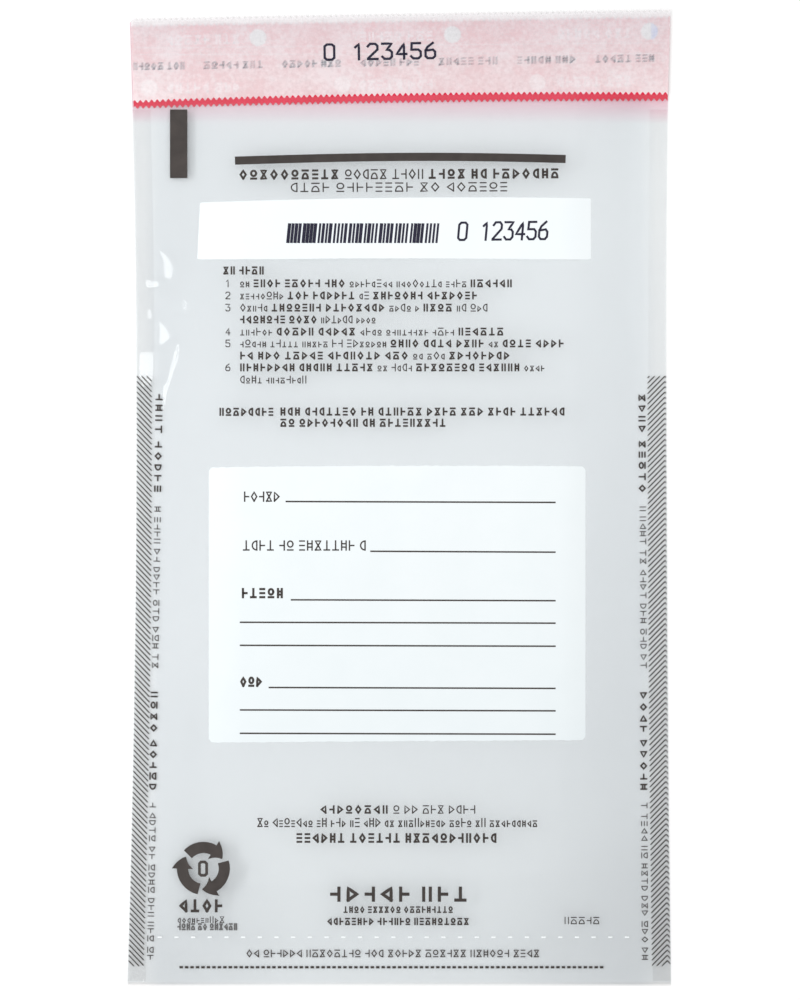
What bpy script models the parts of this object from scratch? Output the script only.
"""A tamper-evident cash deposit bag: empty, lying on its back, with its flap open.

Metres, +Z up. X runs across the bag, +Y runs towards the flap, and the front panel faces up.
The origin is on the ground under the middle of the bag. Names that end in _UP are distances
up the bag from its bottom edge.
"""

import math

import bmesh
import bpy

MM = 0.001

# Outline of the bag
LENGTH = 321.3 * MM  # bottom edge to the higher corner of the flap
BOTTOM_HALF_WIDTH = 89.6 * MM
WAIST_HALF_WIDTH = 87.3 * MM
TOP_HALF_WIDTH = 89.0 * MM
WAIST_UP = 200.0 * MM
CREASE_UP = 292.5 * MM  # where the flap turns
MOUTH_UP = 291.7 * MM  # the front panel's open edge, halfway across
FLAP_SKEW = 2.9 * MM  # how much higher the flap ends on the right than on the left
FLAP_UP = LENGTH - FLAP_SKEW / 2  # the flap's end, halfway across

# Layers
FILM = 0.10 * MM
WELD = 0.10 * MM
INK = 0.05 * MM
TAPE = 0.10 * MM
ADHESIVE = 0.05 * MM
PAPER = 0.08 * MM
GAP = 0.10 * MM  # between layers that lie on each other
BUTT_GAP = 0.30 * MM  # between pieces that meet edge to edge
PATCH_GAP = 0.25 * MM  # under a patch, which is faceted differently from the film below it

# Pocket
WELD_WIDTH = 6.0 * MM
WELD_END_UP = 291.0 * MM
FLANK = 24.0 * MM  # run over which the front panel rises beside a weld
TOE_UP = 9.0 * MM  # where it starts to rise above the bottom fold
TOE_RUN = 22.0 * MM
PLATEAU_Z = 5.80 * MM  # underside of the raised front panel
FOLD_LEG = 1.5 * MM
FOLD_STEPS = 10
RISE_STEPS = 7
LONG_STEPS = 12

# Tape and liner
TOOTH_PITCH = 1.9 * MM
TOOTH_DEPTH = 1.1 * MM
TEETH = 93
TAPE_TOP_UP = 317.6 * MM
ADHESIVE_UP = (295.0 * MM, 315.6 * MM)
LINER_UP = (293.4 * MM, 319.3 * MM)

# White patches on the front panel: left, right, lower edge, upper edge
LABEL_BOX = (-66.4 * MM, 62.8 * MM, 239.7 * MM, 258.6 * MM)
PANEL_BOX = (-63.1 * MM, 60.8 * MM, 80.7 * MM, 171.0 * MM)
PATCH_STEPS = 6

# Heights that follow from the layers
WELD_Z = FILM + GAP
EDGE_Z = WELD_Z + WELD + GAP  # underside of the front panel where it lies on a weld
STACK_Z = EDGE_Z + FILM  # thickness of the bag at its edges
TAPE_Z = FILM + GAP
ADHESIVE_Z = TAPE_Z + TAPE + GAP
LINER_Z = ADHESIVE_Z + ADHESIVE + GAP
FLAP_AXIS_Z = 3.6 * MM  # lets the folded flap lie on top of the front panel

MILKY = (0.80, 0.83, 0.86)
WHITE = (0.93, 0.95, 0.96)
RED = (0.75, 0.05, 0.08)
PINK = (0.90, 0.60, 0.60)
PINKISH_WHITE = (0.90, 0.78, 0.80)


def clear_scene():
    for item in list(bpy.data.objects):
        bpy.data.objects.remove(item, do_unlink=True)


def y_at(up):
    """The Y of a distance up the bag from its bottom edge."""
    return up - LENGTH / 2


def skewed(up, x):
    """Tilts a level line across the bag as the flap's end is tilted."""
    return up + FLAP_SKEW * x / (2 * TOP_HALF_WIDTH)


def half_width(up):
    """The bag draws in at its waist, where the raised front panel takes up film."""
    if up < WAIST_UP:
        return WAIST_HALF_WIDTH + (BOTTOM_HALF_WIDTH - WAIST_HALF_WIDTH) * (1 - up / WAIST_UP) ** 2
    away = (up - WAIST_UP) / (LENGTH - WAIST_UP)
    return WAIST_HALF_WIDTH + (TOP_HALF_WIDTH - WAIST_HALF_WIDTH) * away**2


def ease(t):
    """0 to 1 with level ends."""
    t = min(max(t, 0.0), 1.0)
    return (1 - math.cos(math.pi * t)) / 2


def spread(low, high, steps):
    return [low + (high - low) * i / steps for i in range(steps + 1)]


def front_z(inset, up):
    """Height of the front panel's underside, from the distance in from the side edge."""
    across = ease((inset - WELD_WIDTH) / FLANK)
    along = ease((up - TOE_UP) / TOE_RUN)
    return EDGE_Z + (PLATEAU_Z - EDGE_Z) * across * along


def look(name, color, roughness, alpha=1.0):
    material = bpy.data.materials.new(name)
    material.use_nodes = True
    shader = material.node_tree.nodes["Principled BSDF"]
    shader.inputs["Base Color"].default_value = (*color, 1.0)
    shader.inputs["Roughness"].default_value = roughness
    shader.inputs["Metallic"].default_value = 0.0
    shader.inputs["Alpha"].default_value = alpha
    return material


def add_piece(name, shape, material):
    mesh = bpy.data.meshes.new(name)
    shape.to_mesh(mesh)
    shape.free()
    mesh.materials.append(material)
    piece = bpy.data.objects.new(name, mesh)
    bpy.context.scene.collection.objects.link(piece)
    return piece


def thicken(piece, thickness):
    """Gives an open surface its thickness, upwards from the surface."""
    solid = piece.modifiers.new("thickness", "SOLIDIFY")
    solid.thickness = thickness
    solid.offset = 1.0
    solid.use_even_offset = True
    return piece


def sheet(name, rows, thickness, material):
    """A sheet through rows of points, which run left to right and bottom to top."""
    shape = bmesh.new()
    grid = [[shape.verts.new(point) for point in row] for row in rows]
    for lower, upper in zip(grid, grid[1:]):
        for i in range(len(lower) - 1):
            shape.faces.new((lower[i], lower[i + 1], upper[i + 1], upper[i]))
    return thicken(add_piece(name, shape, material), thickness)


def patch(name, box, material):
    """A patch of ink that follows the front panel."""
    left, right, low, high = box
    rows = []
    for up in spread(low, high, PATCH_STEPS):
        row = []
        for x in spread(left, right, 4 * PATCH_STEPS):
            film_top = front_z(half_width(up) - abs(x), up) + FILM
            row.append((x, y_at(up), film_top + PATCH_GAP))
        rows.append(row)
    return sheet(name, rows, INK, material)


def straight(up):
    """An edge of a strip, square across the bag."""
    return lambda x, i: up


def toothed(up, outward):
    """An edge of a strip with saw teeth, tilted as the flap's end is. outward is 1 or -1."""
    return lambda x, i: skewed(up, x) - outward * TOOTH_DEPTH / 2 * (-1) ** i


def strip(name, low, high, z, thickness, material):
    """A strip right across the bag, between two edges made by straight or toothed."""
    start = -TEETH * TOOTH_PITCH / 2
    rows = []
    for edge in (low, high):
        across = [(i, start + i * TOOTH_PITCH / 2) for i in range(2 * TEETH + 1)]
        rows.append([(x, y_at(edge(x, i)), z) for i, x in across])
    return sheet(name, rows, thickness, material)


def make_rear_film():
    rows = []
    for up in spread(FOLD_LEG + BUTT_GAP, CREASE_UP - BUTT_GAP / 2, LONG_STEPS):
        rows.append([(x, y_at(up), 0.0) for x in (-half_width(up), half_width(up))])
    return sheet("rear_film", rows, FILM, look("rear_film", MILKY, 0.30, 0.55))


def make_flap_film():
    start = CREASE_UP + BUTT_GAP / 2
    rows = []
    for part in spread(0.0, 1.0, 3):
        row = []
        for side in (-1, 0, 1):
            x = side * half_width(start + (FLAP_UP - start) * part)
            row.append((x, y_at(start + (skewed(FLAP_UP, x) - start) * part), 0.0))
        rows.append(row)
    return sheet("flap_film", rows, FILM, look("flap_film", MILKY, 0.30, 0.55))


def make_front_film():
    """The raised panel. Its open edge is cut at the same slant as the flap's end."""
    insets = [0.0] + spread(WELD_WIDTH, WELD_WIDTH + FLANK, RISE_STEPS)
    toe = spread(TOE_UP, TOE_UP + TOE_RUN, RISE_STEPS)
    rows = []
    for up in [FOLD_LEG + BUTT_GAP] + toe + spread(toe[-1], MOUTH_UP, LONG_STEPS)[1:]:
        edge = half_width(up)
        slant = (up / MOUTH_UP) ** 8
        left = [(inset - edge, inset) for inset in insets]
        right = [(-x, inset) for x, inset in reversed(left)]
        row = []
        for x, inset in left + right:
            shift = (skewed(up, x) - up) * slant
            row.append((x, y_at(up + shift), front_z(inset, up)))
        rows.append(row)
    return sheet("front_film", rows, FILM, look("front_film", MILKY, 0.28, 0.50))


def make_side_weld(name, side):
    rows = []
    for up in spread(FOLD_LEG + BUTT_GAP, WELD_END_UP, LONG_STEPS):
        ends = (side * half_width(up), side * (half_width(up) - WELD_WIDTH))
        rows.append([(x, y_at(up), WELD_Z) for x in sorted(ends)])
    return sheet(name, rows, WELD, look(name, MILKY, 0.35, 0.65))


def fold_arc(radius, start, end):
    """Points round the bottom fold, as (distance up the bag, height), by angle in degrees."""
    centre = STACK_Z / 2
    turns = [math.radians(turn) for turn in spread(start, end, FOLD_STEPS)]
    return [(centre + radius * math.cos(a), centre + radius * math.sin(a)) for a in turns]


def make_bottom_fold():
    """The film turning round from the rear panel to the front, as a narrow U lying on its side."""
    outer = [(FOLD_LEG, 0.0)] + fold_arc(STACK_Z / 2, 270, 90) + [(FOLD_LEG, STACK_Z)]
    inner = [(FOLD_LEG, STACK_Z - FILM)] + fold_arc(STACK_Z / 2 - FILM, 90, 270) + [(FOLD_LEG, FILM)]
    shape = bmesh.new()
    corners = [shape.verts.new((-BOTTOM_HALF_WIDTH, y_at(up), z)) for up, z in outer + inner]
    drawn = bmesh.ops.extrude_face_region(shape, geom=[shape.faces.new(corners)])
    ends = [item for item in drawn["geom"] if isinstance(item, bmesh.types.BMVert)]
    bmesh.ops.translate(shape, verts=ends, vec=(2 * BOTTOM_HALF_WIDTH, 0, 0))
    bmesh.ops.recalc_face_normals(shape, faces=shape.faces)
    return add_piece("bottom_fold", shape, look("bottom_fold", MILKY, 0.30, 0.60))


def make_adhesive_layer():
    reach = TEETH * TOOTH_PITCH / 2
    rows = [[(x, y_at(skewed(up, x)), ADHESIVE_Z) for x in (-reach, reach)] for up in ADHESIVE_UP]
    return sheet("adhesive_layer", rows, ADHESIVE, look("adhesive_layer", PINK, 0.2, 0.5))


def make_closure_tape():
    edges = straight(CREASE_UP + BUTT_GAP / 2), toothed(TAPE_TOP_UP, 1)
    return strip("closure_tape", *edges, TAPE_Z, TAPE, look("closure_tape", RED, 0.35))


def make_release_liner():
    edges = toothed(LINER_UP[0], -1), toothed(LINER_UP[1], 1)
    paper = look("release_liner", PINKISH_WHITE, 0.55, 0.85)
    return strip("release_liner", *edges, LINER_Z, PAPER, paper)


def add_axis(name, location, parent=None):
    """An empty on a joint's axis."""
    axis = bpy.data.objects.new(name, None)
    axis.empty_display_size = 10 * MM
    axis.location = location
    axis.parent = parent
    bpy.context.scene.collection.objects.link(axis)
    return axis


def hang(piece, axis):
    """Parents a piece that was made in place, so that it turns about the crease."""
    piece.parent = axis
    piece.location = (0.0, -y_at(CREASE_UP), -FLAP_AXIS_Z)


def main():
    clear_scene()
    make_rear_film()
    make_front_film()
    make_bottom_fold()
    make_side_weld("left_side_weld", -1)
    make_side_weld("right_side_weld", 1)
    patch("serial_label", LABEL_BOX, look("serial_label", WHITE, 0.5))
    patch("write_on_panel", PANEL_BOX, look("write_on_panel", WHITE, 0.6))
    fold_axis = add_axis("flap_fold_axis", (0.0, y_at(CREASE_UP), FLAP_AXIS_Z))
    peel_axis = add_axis("liner_peel_axis", (0.0, 0.0, 0.0), parent=fold_axis)
    hang(make_flap_film(), fold_axis)
    hang(make_closure_tape(), fold_axis)
    hang(make_adhesive_layer(), fold_axis)
    hang(make_release_liner(), peel_axis)


main()
